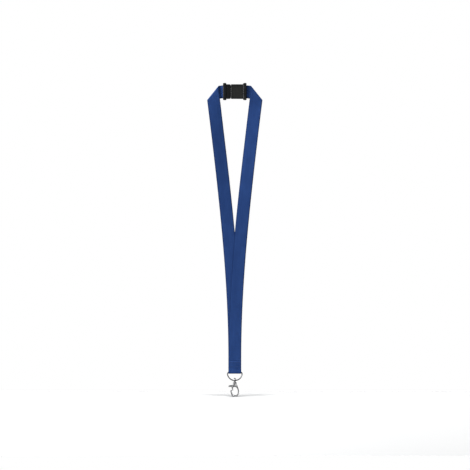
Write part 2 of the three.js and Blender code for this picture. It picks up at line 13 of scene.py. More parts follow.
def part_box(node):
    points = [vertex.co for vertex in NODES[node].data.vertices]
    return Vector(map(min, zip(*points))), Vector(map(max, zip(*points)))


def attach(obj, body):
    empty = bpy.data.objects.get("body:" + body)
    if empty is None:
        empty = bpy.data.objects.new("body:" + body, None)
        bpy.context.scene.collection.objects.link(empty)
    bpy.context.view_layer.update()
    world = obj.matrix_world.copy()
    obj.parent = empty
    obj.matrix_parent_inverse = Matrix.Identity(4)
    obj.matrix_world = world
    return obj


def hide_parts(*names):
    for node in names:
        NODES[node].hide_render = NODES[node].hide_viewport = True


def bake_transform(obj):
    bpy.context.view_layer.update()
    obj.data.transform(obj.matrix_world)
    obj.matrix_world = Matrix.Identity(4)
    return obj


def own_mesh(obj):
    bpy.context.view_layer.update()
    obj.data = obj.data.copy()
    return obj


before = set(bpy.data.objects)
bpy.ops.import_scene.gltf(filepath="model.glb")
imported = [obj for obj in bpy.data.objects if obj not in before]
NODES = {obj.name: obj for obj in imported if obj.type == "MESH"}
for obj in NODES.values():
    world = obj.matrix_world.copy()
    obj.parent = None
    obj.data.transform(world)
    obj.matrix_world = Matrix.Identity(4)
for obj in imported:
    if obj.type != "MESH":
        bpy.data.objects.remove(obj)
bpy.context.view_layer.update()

MM = 0.001

# ---------------------------------------------------------------- sizes

gap = 0.3 * MM
strap_width = 20 * MM
strap_thickness = 0.9 * MM
layer_pitch = strap_thickness + gap
flutter = 0.35 * MM

corner_reach = 34.2 * MM
corner_radius = 1.3 * MM
corner_spare = 0.4 * MM
past_corner = 1 * MM
neck_slope = math.radians(5.5)
leg_slope = math.radians(6.9)
leg_twist = math.radians(9)
twist_fall = 6
leg_rows = 150

tab_length = 19.6 * MM
straight_above_tab = 2.4 * MM
bulge_length = 5 * MM

crossbar_depth = 2.45 * MM
crossbar_width = 3.2 * MM
crossbar_dip = 0.1 * MM
ridge_inner = 12.8 * MM
ridge_to_crossbar = 0.4 * MM
channel_middle = -1 * MM
segment_depth = 0.3 * MM
jog_length = 3.6 * MM
tail_from_corner = 10.4 * MM
fan_spare = 0.2 * MM
# the sloping strap is level with the buckle's middle this far outside the crossbar's axis
level_point = 2 * MM

thread_radius = 0.25 * MM
stitch_pitch = 2.2 * MM
stitch_count = 8

wire_radius = 0.9 * MM
ring_corner = 1.6 * MM
ring_butt_gap = 0.4 * MM
ring_arc_spare = 0.2 * MM
spring_wire_radius = 0.13 * MM
spring_turns = 4.5
rivet_dome = 0.22 * MM

mould_edge = 0.25 * MM
sharp_edge = math.radians(38)
flat_edge = math.radians(1)
weld = 0.001 * MM

# ---------------------------------------------------------------- places, from the frame

strap_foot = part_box("strap_left")[0].z
ring_low, ring_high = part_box("d_ring")
hook_low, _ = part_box("hook_body")
socket_low, socket_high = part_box("buckle_socket")
buckle_middle = (socket_low.z + socket_high.z) / 2

wrap_radius = wire_radius + gap + strap_thickness / 2
bar_height = ring_high.z - wire_radius
tab_end = strap_foot + tab_length
leg_end = tab_end + straight_above_tab
seam_heights = [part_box(n)[0].lerp(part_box(n)[1], 0.5).z for n in ("seam_tab_upper", "seam_tab_lower")]
neck_seam_low, neck_seam_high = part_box("seam_socket_end")
crossbar_front = channel_middle + strap_thickness / 2 + gap
crossbar_middle = crossbar_front + crossbar_depth / 2
crossbar_wrap = crossbar_depth / 2 + gap + strap_thickness / 2
crossbar_inner = ridge_inner + ridge_to_crossbar
crossbar_axis = crossbar_inner + crossbar_depth / 2
tail_depth = crossbar_middle + crossbar_wrap
tail_reach = corner_reach - tail_from_corner


def smooth_step(t):
    return t * t * (3 - 2 * t)


def clamp(value, low=0.0, high=1.0):
    return max(low, min(high, value))


# ---------------------------------------------------------------- mesh helpers


def finished(name, bm):
    """The bmesh as a smooth-shaded object at the origin, with its faces turned outwards."""
    bmesh.ops.recalc_face_normals(bm, faces=bm.faces)
    mesh = bpy.data.meshes.new(name)
    bm.to_mesh(mesh)
    bm.free()
    piece = bpy.data.objects.new(name, mesh)
    bpy.context.scene.collection.objects.link(piece)
    mesh.polygons.foreach_set("use_smooth", [True] * len(mesh.polygons))
    return piece


def start_ring(bm, places):
    """A closed ring of edges through the given places."""
    ring = bmesh.ops.create_circle(bm, segments=len(places), radius=strap_width)["verts"]
    for vert, place in zip(ring, places):
        vert.co = place
    return ring


def grow_ring(bm, ring, places):
    """Extrudes a closed ring of edges and lays the new ring on the given places."""
    loop = []
    for i, vert in enumerate(ring):
        after = ring[(i + 1) % len(ring)]
        loop.append(next(e for e in vert.link_edges if e.other_vert(vert) is after))
    made = bmesh.ops.extrude_edge_only(bm, edges=loop)["geom"]
    fresh = [g for g in made if isinstance(g, bmesh.types.BMVert)]
    old = set(ring)
    follower = {}
    for vert in fresh:
        for edge in vert.link_edges:
            other = edge.other_vert(vert)
            if other in old:
                follower[other] = vert
    grown = [follower[vert] for vert in ring]
    for vert, place in zip(grown, places):
        vert.co = place
    return grown


def close_ends(bm, first, last):
    """Puts a flat face on each end of a bar or strap."""
    for ring in (first, last):
        bmesh.ops.contextual_create(bm, geom=list(ring))


def tube(path, radius, sides):
    """A round bar along the points of a path, with domed ends."""
    dome_reach = 0.35
    dome_width = 0.6
    count = len(path)
    tangents = []
    for i in range(count):
        ahead = path[min(i + 1, count - 1)] - path[max(i - 1, 0)]
        tangents.append(ahead.normalized())
    stations = [(path[0] - tangents[0] * radius * dome_reach, tangents[0], dome_width)]
    stations += [(place, tangent, 1) for place, tangent in zip(path, tangents)]
    stations += [(path[-1] + tangents[-1] * radius * dome_reach, tangents[-1], dome_width)]

    bm = bmesh.new()
    side = tangents[0].orthogonal().normalized()
    ring = None
    for middle, tangent, swell in stations:
        side = (side - tangent * side.dot(tangent)).normalized()
        other = tangent.cross(side)
        places = []
        for k in range(sides):
            angle = 2 * math.pi * k / sides
            places.append(middle + (side * math.cos(angle) + other * math.sin(angle)) * radius * swell)
        if ring is None:
            first = ring = start_ring(bm, places)
        else:
            ring = grow_ring(bm, ring, places)
    close_ends(bm, first, ring)
    return bm


def turned(profile, axis_place, steps=40):
    """A solid of revolution about a line along Y: the profile is a list of (radius, depth)."""
    bm = bmesh.new()
    verts = [bm.verts.new(axis_place + Vector((radius, depth, 0))) for radius, depth in profile]
    edges = [bm.edges.new(pair) for pair in zip(verts, verts[1:])]
    bmesh.ops.spin(
        bm,
        geom=verts + edges,
        cent=axis_place,
        axis=(0, 1, 0),
        angle=2 * math.pi,
        steps=steps,
        use_merge=True,
    )
    bmesh.ops.remove_doubles(bm, verts=bm.verts, dist=weld)
    return bm


def copy_of(node):
    """A CAD node's own shape, with its loose triangles joined."""
    bm = bmesh.new()
    bm.from_mesh(NODES[node].data)
    bmesh.ops.remove_doubles(bm, verts=bm.verts, dist=weld)
    return bm


def corners_round(places, near, far):
    """The corners of a box from near to far along X that reaches as deep and as high as the places do."""
    low = Vector((near, min(p.y for p in places), min(p.z for p in places)))
    high = Vector((far, max(p.y for p in places), max(p.z for p in places)))
    return low, high


def add_block(bm, middle, size):
    """Adds a rectangular block of the given size round its middle."""
    verts = bmesh.ops.create_cube(bm, size=1)["verts"]
    bmesh.ops.scale(bm, vec=size, verts=verts)
    bmesh.ops.translate(bm, vec=middle, verts=verts)


def back_the_seam(bm, face):
    """A root round the prong and the guides and a thin lip on the plug's shoulder, behind the seam that the
    plug makes with the socket's face."""
    root_reach = 1.2 * MM
    root_fill = 0.96
    inside = [v.co for v in bm.verts if v.co.x > face + 2 * root_reach]
    low, high = corners_round(inside, face - root_reach, face + root_reach)
    add_block(bm, low.lerp(high, 0.5), (high - low) * root_fill)

    lip_root = 0.9 * MM
    lip_gap = 0.08 * MM
    shoulder_gap = 0.1 * MM
    inset = Vector((0, 0.8 * MM, 0.8 * MM))
    shoulder = [v.co for v in bm.verts if face - root_reach < v.co.x < face - shoulder_gap]
    low, high = corners_round(shoulder, face - lip_root, face - lip_gap)
    add_block(bm, low.lerp(high, 0.5), high - low - 2 * inset)


def moulded(name, node):
    """A plastic moulding: the CAD node's shape with its sharp edges rounded."""
    bm = copy_of(node)
    bmesh.ops.dissolve_limit(bm, angle_limit=flat_edge, verts=bm.verts, edges=bm.edges)
    if node == "buckle_plug":
        back_the_seam(bm, socket_low.x)
    piece = finished(name, bm)
    piece.data.set_sharp_from_angle(angle=sharp_edge)
    bevel = piece.modifiers.new("edges", "BEVEL")
    bevel.width = mould_edge
    bevel.segments = 3
    bevel.limit_method = "ANGLE"
    bevel.angle_limit = sharp_edge
    bevel.use_clamp_overlap = True
    bevel.harden_normals = True
    return piece


def cast(name, node, voxel, passes):
    """A casting: the CAD node's shape with every edge softened, as metal leaves a die."""
    piece = finished(name, copy_of(node))
    remesh = piece.modifiers.new("skin", "REMESH")
    remesh.mode = "VOXEL"
    remesh.voxel_size = voxel
    remesh.use_smooth_shade = True
    soften = piece.modifiers.new("soften", "SMOOTH")
    soften.factor = 0.5
    soften.iterations = passes
    return applied(piece)


def applied(piece):
    """Makes a piece's modifiers part of its mesh."""
    bpy.context.view_layer.update()
    depsgraph = bpy.context.evaluated_depsgraph_get()
    mesh = bpy.data.meshes.new_from_object(piece.evaluated_get(depsgraph))
    piece.modifiers.clear()
    piece.data = mesh
    return piece


# ---------------------------------------------------------------- materials


class Shader:
    """A material's node tree, with short calls for the nodes that the finishes use."""

    def __init__(self, name, **surface):
        self.material = bpy.data.materials.new(name)
        self.material.use_nodes = True
        self.tree = self.material.node_tree
        self.surface = self.tree.nodes["Principled BSDF"]
        for socket, value in surface.items():
            self.surface.inputs[socket.replace("_", " ")].default_value = value
        self.coordinates = self.tree.nodes.new("ShaderNodeTexCoord").outputs

    def feed(self, socket, source):
        """Links a socket to another one, or gives it a constant value."""
        if isinstance(source, bpy.types.NodeSocket):
            self.tree.links.new(source, socket)
        else:
            socket.default_value = source

    def math(self, operation, first, second=0.0, clamp=False):
        node = self.tree.nodes.new("ShaderNodeMath")
        node.operation = operation
        node.use_clamp = clamp
        self.feed(node.inputs[0], first)
        self.feed(node.inputs[1], second)
        return node.outputs[0]

    def plus(self, first, second):
        return self.math("ADD", first, second)

    def minus(self, first, second):
        return self.math("SUBTRACT", first, second)

    def times(self, first, second):
        return self.math("MULTIPLY", first, second)

    def noise(self, scale, detail, vector=None, roughness=0.5):
        node = self.tree.nodes.new("ShaderNodeTexNoise")
        node.inputs["Scale"].default_value = scale
        node.inputs["Detail"].default_value = detail
        node.inputs["Roughness"].default_value = roughness
        self.feed(node.inputs["Vector"], vector or self.coordinates["Object"])
        return node.outputs["Fac"]

    def stretched(self, scale, source="Object"):
        node = self.tree.nodes.new("ShaderNodeMapping")
        node.inputs["Scale"].default_value = scale
        self.feed(node.inputs["Vector"], self.coordinates[source])
        return node.outputs[0]

    def spread(self, factor, start, end, low=0.0, high=1.0):
        """Runs from low to high while the factor runs from start to end."""
        node = self.tree.nodes.new("ShaderNodeMapRange")
        for socket, number in zip((1, 2, 3, 4), (start, end, low, high)):
            node.inputs[socket].default_value = number
        self.feed(node.inputs[0], factor)
        return node.outputs[0]

    def within(self, coordinate, low, high, edge):
        """1 where the coordinate is between low and high, and 0 outside, with a soft edge."""
        off_middle = self.math("ABSOLUTE", self.minus(coordinate, (high + low) / 2))
        half = (high - low) / 2
        return self.spread(off_middle, start=half - edge, end=half + edge, low=1, high=0)

    def mix(self, factor, first, second):
        """Goes from the first colour to the second one as the factor rises."""
        node = self.tree.nodes.new("ShaderNodeMix")
        node.data_type = "RGBA"
        self.feed(node.inputs[0], factor)
        for socket, colour in ((node.inputs[6], first), (node.inputs[7], second)):
            self.feed(socket, (*colour, 1) if isinstance(colour, tuple) else colour)
        return node.outputs[2]

    def split(self, source):
        """The three components of the piece's own UV map, or of its object coordinates."""
        node = self.tree.nodes.new("ShaderNodeSeparateXYZ")
        self.tree.links.new(self.coordinates[source], node.inputs[0])
        return node.outputs

    def bump(self, height, distance, strength=1.0, after=None):
        node = self.tree.nodes.new("ShaderNodeBump")
        node.inputs["Distance"].default_value = distance
        node.inputs["Strength"].default_value = strength
        self.tree.links.new(height, node.inputs["Height"])
        if after is not None:
            self.tree.links.new(after, node.inputs["Normal"])
        return node.outputs[0]

    def finish(self, colour, roughness=None, normal=None):
        for socket, source in (("Base Color", colour), ("Roughness", roughness), ("Normal", normal)):
            if source is not None:
                self.tree.links.new(source, self.surface.inputs[socket])
        return self.material


navy = (0.0172, 0.0470, 0.1640)
deep_navy = (0.0060, 0.0200, 0.0800)
worn_navy = (0.0215, 0.0570, 0.1920)
thread_navy = (0.0180, 0.0480, 0.1600)
plastic_black = (0.0052, 0.0056, 0.0062)
plastic_scuffed = (0.0130, 0.0135, 0.0140)
panel_black = (0.0110, 0.0112, 0.0104)
plug_lit = (0.0078, 0.0082, 0.0088)
nickel = (0.285, 0.285, 0.290)
nickel_shadow = (0.130, 0.131, 0.135)
# Painted shade: a darker copy of the nickel plate for the ring's wire and the rivet, standing in for the
# dark room that thin wire reflects.
shaded_wire_nickel = (0.150, 0.150, 0.154)
wire_shadow = (0.075, 0.076, 0.079)
spring_grey = (0.420, 0.425, 0.440)
floor_grey = (0.495, 0.495, 0.495)
floor_light = (0.505, 0.505, 0.505)


def weave_height(s, along, across):
    """Warp yarns side by side, each passing over and under the ribs half a turn after its neighbour."""
    rib_pitch = 0.62
    yarn_pitch = 0.42
    rib_wander = 0.8
    rib_swell = 1.25
    wander = s.times(s.noise(scale=0.3, detail=2, vector=s.coordinates["UV"]), rib_wander)
    yarn_count = s.math("DIVIDE", across, yarn_pitch)
    yarn_number = s.math("FLOOR", yarn_count)
    phase = s.times(yarn_number, math.pi)
    passes = s.times(s.plus(along, wander), math.pi / rib_pitch)
    over = s.math("COSINE", s.plus(passes, phase))
    offset = s.minus(s.minus(yarn_count, yarn_number), 0.5)
    round_yarn = s.minus(1.0, s.times(s.times(offset, offset), 4.0))
    return s.minus(s.times(round_yarn, s.plus(over, rib_swell)), 1.0)


def webbing_material():
    """Fine ribbed webbing. Its UV map holds millimetres: U along the strap, V across it from the middle."""
    s = Shader(
        "navy_webbing",
        Roughness=0.85,
        Specular_IOR_Level=0.06,
        Sheen_Weight=0.03,
        Sheen_Roughness=0.4,
    )
    along, across, _ = s.split("UV")
    selvage_width = 1.25
    selvage_place = strap_width / MM / 2 - selvage_width
    groove_width = 0.22
    fuzz_height = 0.7
    fold_shade_reach = 1.6 * MM
    weave = weave_height(s, along, across)
    fuzz = s.noise(scale=6.5, detail=4, vector=s.stretched((0.6, 2.2, 1), "UV"), roughness=0.7)
    height = s.plus(weave, s.times(fuzz, fuzz_height))

    from_middle = s.math("ABSOLUTE", across)
    off_groove = s.math("ABSOLUTE", s.math("DIVIDE", s.minus(from_middle, selvage_place), groove_width))
    groove = s.math("SUBTRACT", 1.0, off_groove, clamp=True)
    selvage_bump = s.bump(s.times(groove, -1.0), distance=0.12 * MM)
    normal = s.bump(height, distance=0.075 * MM, strength=0.8, after=selvage_bump)

    patches = s.noise(scale=0.045, detail=3, vector=s.stretched((1, 2.2, 1), "UV"))
    streaks = s.noise(scale=0.5, detail=2, vector=s.stretched((0.02, 2.4, 1), "UV"))
    selvage = s.spread(from_middle, start=selvage_place - 0.15, end=selvage_place + 0.1)
    upright = s.split("Object")[2]
    # Painted shade: the strap is darker where it rolls round the ring's bar at its foot.
    painted_fold_shade = s.spread(upright, start=strap_foot, end=strap_foot + fold_shade_reach, low=0.6, high=0)
    tone = s.mix(s.spread(patches, start=0.35, end=0.68), navy, worn_navy)
    tone = s.mix(s.spread(streaks, start=0.4, end=0.75, low=0, high=0.35), tone, deep_navy)
    # Painted shade: darker in the hollows of the weave.
    tone = s.mix(s.spread(weave, start=-0.9, end=0.5, low=0.5, high=0), tone, deep_navy)
    # The strap is darker along both selvages.
    tone = s.mix(s.times(selvage, 0.8), tone, deep_navy)
    tone = s.mix(painted_fold_shade, tone, deep_navy)
    return s.finish(tone, s.spread(fuzz, start=0.3, end=0.7, low=0.7, high=0.95), normal)


def thread_material():
    """Three-ply sewing thread. Its UV map holds millimetres along and turns round."""
    s = Shader("navy_thread", Roughness=0.6, Sheen_Weight=0.03, Specular_IOR_Level=0.15)
    along, around, _ = s.split("UV")
    twist_rate = 5.5
    ply_count = 3
    twist = s.plus(s.times(along, twist_rate), s.times(around, ply_count * 2 * math.pi))
    plies = s.math("SINE", twist)
    # Painted shade: darker in the grooves between the plies.
    tone = s.mix(s.spread(plies, start=-1, end=1), deep_navy, thread_navy)
    rough = s.spread(plies, start=-1, end=1, low=0.75, high=0.5)
    return s.finish(tone, rough, s.bump(plies, distance=0.05 * MM, strength=0.8))


def panel_mask(s, across, upright, depth):
    """1 on the socket's sunk panel and 0 elsewhere."""
    edge = 0.12 * MM
    x, y, z = s.split("Object")
    in_front = s.spread(y, start=depth - edge, end=depth + edge, low=1, high=0)
    return s.times(s.times(s.within(x, *across, edge), in_front), s.within(z, *upright, edge))


def plastic_material(name, lit, gloss, panel=None):
    """Moulded acetal with a fine spark-eroded grain and a few scuffs; a panel is duller than the rest."""
    s = Shader(name, Roughness=gloss, Specular_IOR_Level=0.24)
    panel_dullness = 0.16
    wear_dullness = 0.1
    wear_tone = 0.4
    grain = s.noise(scale=5200, detail=2)
    flow = s.noise(scale=190, detail=3)
    scuffs = s.noise(scale=1300, detail=5, vector=s.stretched((0.7, 1, 1.2)), roughness=0.65)
    wear = s.spread(scuffs, start=0.6, end=0.76)
    tone = s.mix(s.spread(flow, start=0.3, end=0.75), plastic_black, lit)
    tone = s.mix(s.times(wear, wear_tone), tone, plastic_scuffed)
    flow_gloss = s.spread(flow, start=0, end=1, low=gloss - 0.06, high=gloss + 0.08)
    rough = s.plus(flow_gloss, s.times(wear, wear_dullness))
    if panel:
        inside = panel_mask(s, *panel)
        tone = s.mix(inside, tone, panel_black)
        rough = s.plus(rough, s.times(inside, panel_dullness))
    flow_bump = s.bump(flow, distance=0.05 * MM, strength=0.1)
    return s.finish(tone, rough, s.bump(grain, distance=0.02 * MM, strength=0.3, after=flow_bump))


def plated_material(name, base, shade, gloss, ripple):
    """Nickel over steel or zinc: a little uneven, with shallow pits and hairline scratches."""
    s = Shader(name, Metallic=1.0, Roughness=gloss)
    cloud = s.noise(scale=260, detail=3)
    pits = s.noise(scale=1500, detail=4)
    hairs = s.noise(scale=700, detail=3, vector=s.stretched((1, 9, 0.6)), roughness=0.7)
    tone = s.mix(s.spread(cloud, start=0.35, end=0.8, low=0, high=0.75), base, shade)
    cloud_gloss = s.spread(cloud, start=0, end=1, low=gloss - 0.05, high=gloss + 0.1)
    hair_gloss = s.spread(hairs, start=0.5, end=0.8, low=0, high=0.14)
    pit_bump = s.bump(pits, distance=ripple, strength=0.35)
    normal = s.bump(hairs, distance=0.012 * MM, strength=0.5, after=pit_bump)
    return s.finish(tone, s.plus(cloud_gloss, hair_gloss), normal)


# ---------------------------------------------------------------- webbing


class Strap:
    """A flat strap, walked from its sewn-back end. Each row has a middle, a vector across the strap, the way
    its face looks, how far along the strap it is, and how much the row leans along it."""

    def __init__(self, at, along, face):
        self.at, self.along, self.face = at.copy(), along.copy(), face.copy()
        self.length = 0.0
        self.rows = []
        self.mark()

    @property
    def across(self):
        return self.face.cross(self.along)

    def mark(self, across=None, face=None, lean=0.0):
        row = (self.at.copy(), (across or self.across).copy(), (face or self.face).copy(), self.length, lean)
        self.rows.append(row)

    def skip(self, distance):
        self.at += self.along * distance
        self.length += distance
        return self

    def forward(self, distance, steps):
        for _ in range(steps):
            self.skip(distance / steps).mark()
        return self

    def jog(self, distance, rise, steps):
        """An S-shaped step towards the face."""
        start = self.at.copy()
        for i in range(1, steps + 1):
            t = i / steps
            slope = rise * 6 * t * (1 - t) / distance
            self.at = start + self.along * distance * t + self.face * rise * smooth_step(t)
            self.length += distance / steps
            self.mark(face=(self.face - self.along * slope).normalized())
        return self

    def head(self, along):
        """Turns the walk within the strap's own plane; the rows on both sides stay where they are."""
        self.along = along.copy()
        return self

    def roll(self, radius, turn, side, slant, steps, spread=1.0):
        """Rolls round a crease that leans by slant, towards the face (side 1) or away from it (side -1).
        The rows are longer than the strap is wide by the factor spread, where the strap meets them askew."""
        u, n, v = self.along.copy(), self.face.copy(), self.across.copy()
        ahead = u * math.cos(slant) + v * math.sin(slant)
        crease = v * math.cos(slant) - u * math.sin(slant)
        start = self.at.copy()
        started = self.length
        axis_share, ahead_share = u.dot(crease), u.dot(ahead)
        for i in range(steps + 1):
            angle = turn * i / steps
            sine, cosine = math.sin(angle), math.cos(angle)
            self.at = start + ahead * radius * sine + n * side * radius * (1 - cosine)
            self.at += crease * (axis_share * radius * angle / ahead_share)
            self.length = started + radius * angle / ahead_share
            tangent = ahead * cosine + n * side * sine
            self.face = n * cosine - ahead * side * sine
            self.along = crease * axis_share + tangent * ahead_share
            self.mark(crease * spread / math.cos(slant), lean=-math.tan(slant))
        return self

    def follow(self, centre, along, across, face):
        """Goes straight to the next row of a free leg."""
        self.length += (centre - self.at).length
        self.at, self.along, self.face = centre.copy(), along.copy(), face.copy()
        self.mark(across)
        return self


def neck_end():
    """The sewn-back tail, the turn round the crossbar, the way out under the rib and the folded corner."""
    slope_run = 1 / math.cos(neck_slope)
    rise = math.tan(neck_slope)
    fan = rise * strap_width / 2 + fan_spare
    turn_height = buckle_middle + rise * level_point - crossbar_dip
    out_of_crossbar = crossbar_inner + crossbar_width + gap
    straight = out_of_crossbar - crossbar_axis - fan
    outwards = Vector((math.cos(neck_slope), 0, -math.sin(neck_slope)))

    tail_height = turn_height - rise * (tail_reach - crossbar_axis)
    start = Vector((tail_reach, segment_depth + layer_pitch, tail_height))
    strap = Strap(start, -outwards, Vector((0, 1, 0)))
    strap.forward(slope_run * (tail_reach - out_of_crossbar - jog_length), 3)
    strap.jog(slope_run * jog_length, tail_depth - segment_depth - layer_pitch, 10)
    strap.forward(slope_run * straight, 2).skip(slope_run * fan)
    strap.head(Vector((-1, 0, 0))).roll(crossbar_wrap, math.pi, -1, 0, 20, slope_run)
    strap.head(outwards).skip(slope_run * fan).forward(slope_run * straight, 2)
    strap.jog(slope_run * jog_length, channel_middle - segment_depth, 10)

    slant = math.pi / 4 + (neck_slope - leg_slope) / 2
    half_fold = math.pi * corner_radius / 2 / math.cos(slant)
    square = strap_width / 2 * math.tan(slant)
    to_corner = slope_run * (corner_reach - strap.at.x)
    strap.forward(to_corner - half_fold - square - corner_spare, 3).skip(square + corner_spare)
    strap.roll(corner_radius, math.pi, 1, slant, 26)
    return strap.forward(square + past_corner, 1)


leg_top = neck_end().at.copy()
leg_length = leg_top.z - leg_end
leg_share = leg_top.x / (math.tan(leg_slope) * leg_length)
leg_bend = leg_share / (1 - leg_share)
# the twist's curve peaks at 1 / twist_norm, so that the leg's largest twist is leg_twist
twist_norm = (twist_fall + 1) ** (twist_fall + 1) / twist_fall**twist_fall


def leg_row(height, end_depth, settle):
    """A row of the leg: it leaves the corner leaning and twisted, and ends upright in the middle."""
    t = clamp((height - leg_end) / leg_length)
    lean = math.tan(leg_slope) * (1 - (1 - t) ** leg_bend)
    reach = t - (1 - (1 - t) ** (leg_bend + 1)) / (leg_bend + 1)

    def depth_at(s):
        return end_depth + (leg_top.y - end_depth) * smooth_step(clamp(s)) ** settle

    step = 0.001
    slope = (depth_at(t + step) - depth_at(t - step)) / (2 * step * leg_length)
    twist = leg_twist * twist_norm * t**twist_fall * (1 - t)
    along = Vector((-lean, -slope, -1)).normalized()
    level = Vector((-1, 0, lean)).normalized()
    square = along.cross(level).normalized()
    across = level * math.cos(twist) + square * math.sin(twist)
    face = square * math.cos(twist) - level * math.sin(twist)
    centre = Vector((math.tan(leg_slope) * leg_length * reach, depth_at(t), height))
    return centre, along, across, face


def follow_leg(strap, end_depth, settle):
    for i in range(1, leg_rows + 1):
        height = leg_top.z + (leg_end - leg_top.z) * i / leg_rows
        strap.follow(*leg_row(height, end_depth, settle))
    return strap


def front_strap():
    """The right strap: down to just above the ring's bar, between the layers of the tab."""
    strap = follow_leg(neck_end(), 0.0, 1)
    return strap.forward(leg_end - bar_height - wire_radius - 2 * gap, 12)


def rear_strap():
    """The left strap, drawn as a right one: round the ring's bar and up in front as the tab."""
    strap = follow_leg(neck_end(), layer_pitch, 2)
    bulge = wrap_radius - layer_pitch
    strap.forward(leg_end - bar_height - bulge_length, 8).jog(bulge_length, bulge, 8)
    strap.roll(wrap_radius, math.pi, -1, 0, 24)
    return strap.jog(bulge_length, -bulge, 8).forward(tab_end - bar_height - bulge_length, 8)


def section():
    """The strap's cross-section as (across, out of the face) pairs: flat, with round selvages."""
    columns = 14
    end_steps = 5
    radius = strap_thickness / 2
    half = strap_width / 2 - radius
    points = []
    for side in (1, -1):
        points += [(side * half * (2 * i / columns - 1) * -1, side * radius) for i in range(columns)]
        for k in range(end_steps):
            angle = math.pi / 2 + math.pi * k / end_steps
            points.append((side * (-half + radius * math.cos(angle)), side * radius * math.sin(angle)))
    return points


def webbing(name, strap, material, mirrored):
    """The strap's solid: its legs flutter a little and its selvages are uneven. Its UV map holds millimetres
    along and across."""
    waves = 14
    edge_waves = 900
    edge_wear = 0.0035
    curl_pace = 1.7
    curl_share = 0.9
    curl_rest = 0.3
    curl_seed = Vector((0, 5, 0))
    calm_run = 40 * MM
    own_seed = 3.7 if mirrored else 9.1
    bm = bmesh.new()
    outline = section()
    uv_of = {}
    ring = None
    flip = Vector((-1 if mirrored else 1, 1, 1))
    for centre, across, face, length, lean in strap.rows:
        share = clamp((centre.z - leg_end) / leg_length)
        free = smooth_step(share) * smooth_step(clamp((leg_top.z - centre.z) / calm_run))
        seed = Vector((length * waves, own_seed, 0.4))
        wave = noise.noise(seed) * flutter * free
        curl = noise.noise(seed * curl_pace + curl_seed) * flutter * curl_share * free
        places = []
        for out, lift in outline:
            side = out / (strap_width / 2)
            frayed = 1 + edge_wear * noise.noise(Vector((length * edge_waves, side * 3, 7)))
            place = centre + across * out * frayed + face * (lift + wave + curl * (side * side - curl_rest))
            places.append(place * flip)
        if ring is None:
            first = ring = start_ring(bm, places)
        else:
            ring = grow_ring(bm, ring, places)
        for vert, (out, _) in zip(ring, outline):
            uv_of[vert] = ((length + lean * out) / MM, out / MM)
    close_ends(bm, first, ring)
    layer = bm.loops.layers.uv.new("strap")
    for bm_face in bm.faces:
        for loop in bm_face.loops:
            loop[layer].uv = uv_of[loop.vert]
    piece = finished(name, bm)
    piece.data.materials.append(material)
    return piece


def stitch_path(places, depth, out):
    """The line of a thread that arches out of one face and dips into the needle holes."""
    steps = 10
    arch = 0.55
    sink = 0.25
    count = len(places) - 1
    path = []
    for i in range(count):
        for k in range(steps + (i == count - 1)):
            t = k / steps
            lift = thread_radius * (arch * math.sin(math.pi * t) ** 0.5 - sink)
            path.append(places[i].lerp(places[i + 1], t) + Vector((0, out * lift, 0)))
    return [Vector((p.x, p.y + depth, p.z)) for p in path]


def stitches(name, places, direction, front, back, material):
    """Lock stitches: a thread on the front and one on the back, with a shaft in every needle hole."""
    thread_share = 0.85
    shaft_share = 0.7
    sides = 10
    bm = bmesh.new()
    for depth, out in ((front, -1), (back, 1)):
        strand = tube(stitch_path(places, depth, out), thread_radius * thread_share, sides)
        mesh = bpy.data.meshes.new("strand")
        strand.to_mesh(mesh)
        strand.free()
        bm.from_mesh(mesh)
        bpy.data.meshes.remove(mesh)
    for place in places:
        shaft = bmesh.ops.create_cone(
            bm,
            cap_ends=True,
            segments=sides,
            radius1=thread_radius * shaft_share,
            radius2=thread_radius * shaft_share,
            depth=back - front,
        )["verts"]
        turn = Matrix.Rotation(math.pi / 2, 4, "X")
        bmesh.ops.transform(bm, matrix=turn, verts=shaft)
        bmesh.ops.translate(bm, verts=shaft, vec=(place.x, (front + back) / 2, place.z))
    layer = bm.loops.layers.uv.new("thread")
    for bm_face in bm.faces:
        for loop in bm_face.loops:
            co = loop.vert.co
            loop[layer].uv = (co.dot(direction) / MM, co.y / (2 * math.pi * thread_radius))
    piece = finished(name, bm)
    piece.data.materials.append(material)
    return piece


def seam_places(middle, direction):
    """The needle holes of a seam, evenly to both sides of its middle."""
    return [middle + direction * (i - stitch_count / 2) * stitch_pitch for i in range(stitch_count + 1)]


# ---------------------------------------------------------------- metal pieces


def ring_path():
    """The bent wire's axis, from one butt end round to the other."""
    bar_steps = 6
    corner_steps = 10
    arc_steps = 26
    half = ring_high.x - wire_radius
    arc_radius = half + ring_arc_spare
    drop = bar_height - (ring_low.z + wire_radius) - arc_radius
    side = math.acos(half / arc_radius)
    inner = half - ring_corner
    butt = ring_butt_gap / 2
    right = [Vector((butt + (inner - butt) * i / bar_steps, 0, 0)) for i in range(bar_steps + 1)]
    for i in range(1, corner_steps + 1):
        angle = math.pi / 2 * (1 - i / corner_steps)
        right.append(Vector((inner + ring_corner * math.cos(angle), 0, ring_corner * (math.sin(angle) - 1))))
    below = [-side - (math.pi / 2 - side) * i / arc_steps for i in range(arc_steps + 1)]
    right += [Vector((arc_radius * math.cos(a), 0, arc_radius * math.sin(a) - drop)) for a in below]
    left = [Vector((-p.x, 0, p.z)) for p in reversed(right[:-1])]
    return [p + Vector((0, 0, bar_height)) for p in right + left]


def spring_path():
    """The spring's wire, with its end coils lying flat."""
    closed_share = 0.1
    steps = 150
    low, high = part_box("gate_spring")
    wire = spring_wire_radius
    radius = (high.y - low.y) / 2 - wire
    axis = Vector((low.x + radius + wire, 0, 0))
    path = []
    for i in range(steps + 1):
        t = i / steps
        eased = clamp((t - closed_share) / (1 - 2 * closed_share))
        angle = 2 * math.pi * spring_turns * t
        height = low.z + wire + (high.z - low.z - 2 * wire) * eased
        path.append(axis + Vector((radius * math.cos(angle), radius * math.sin(angle), height)))
    return path


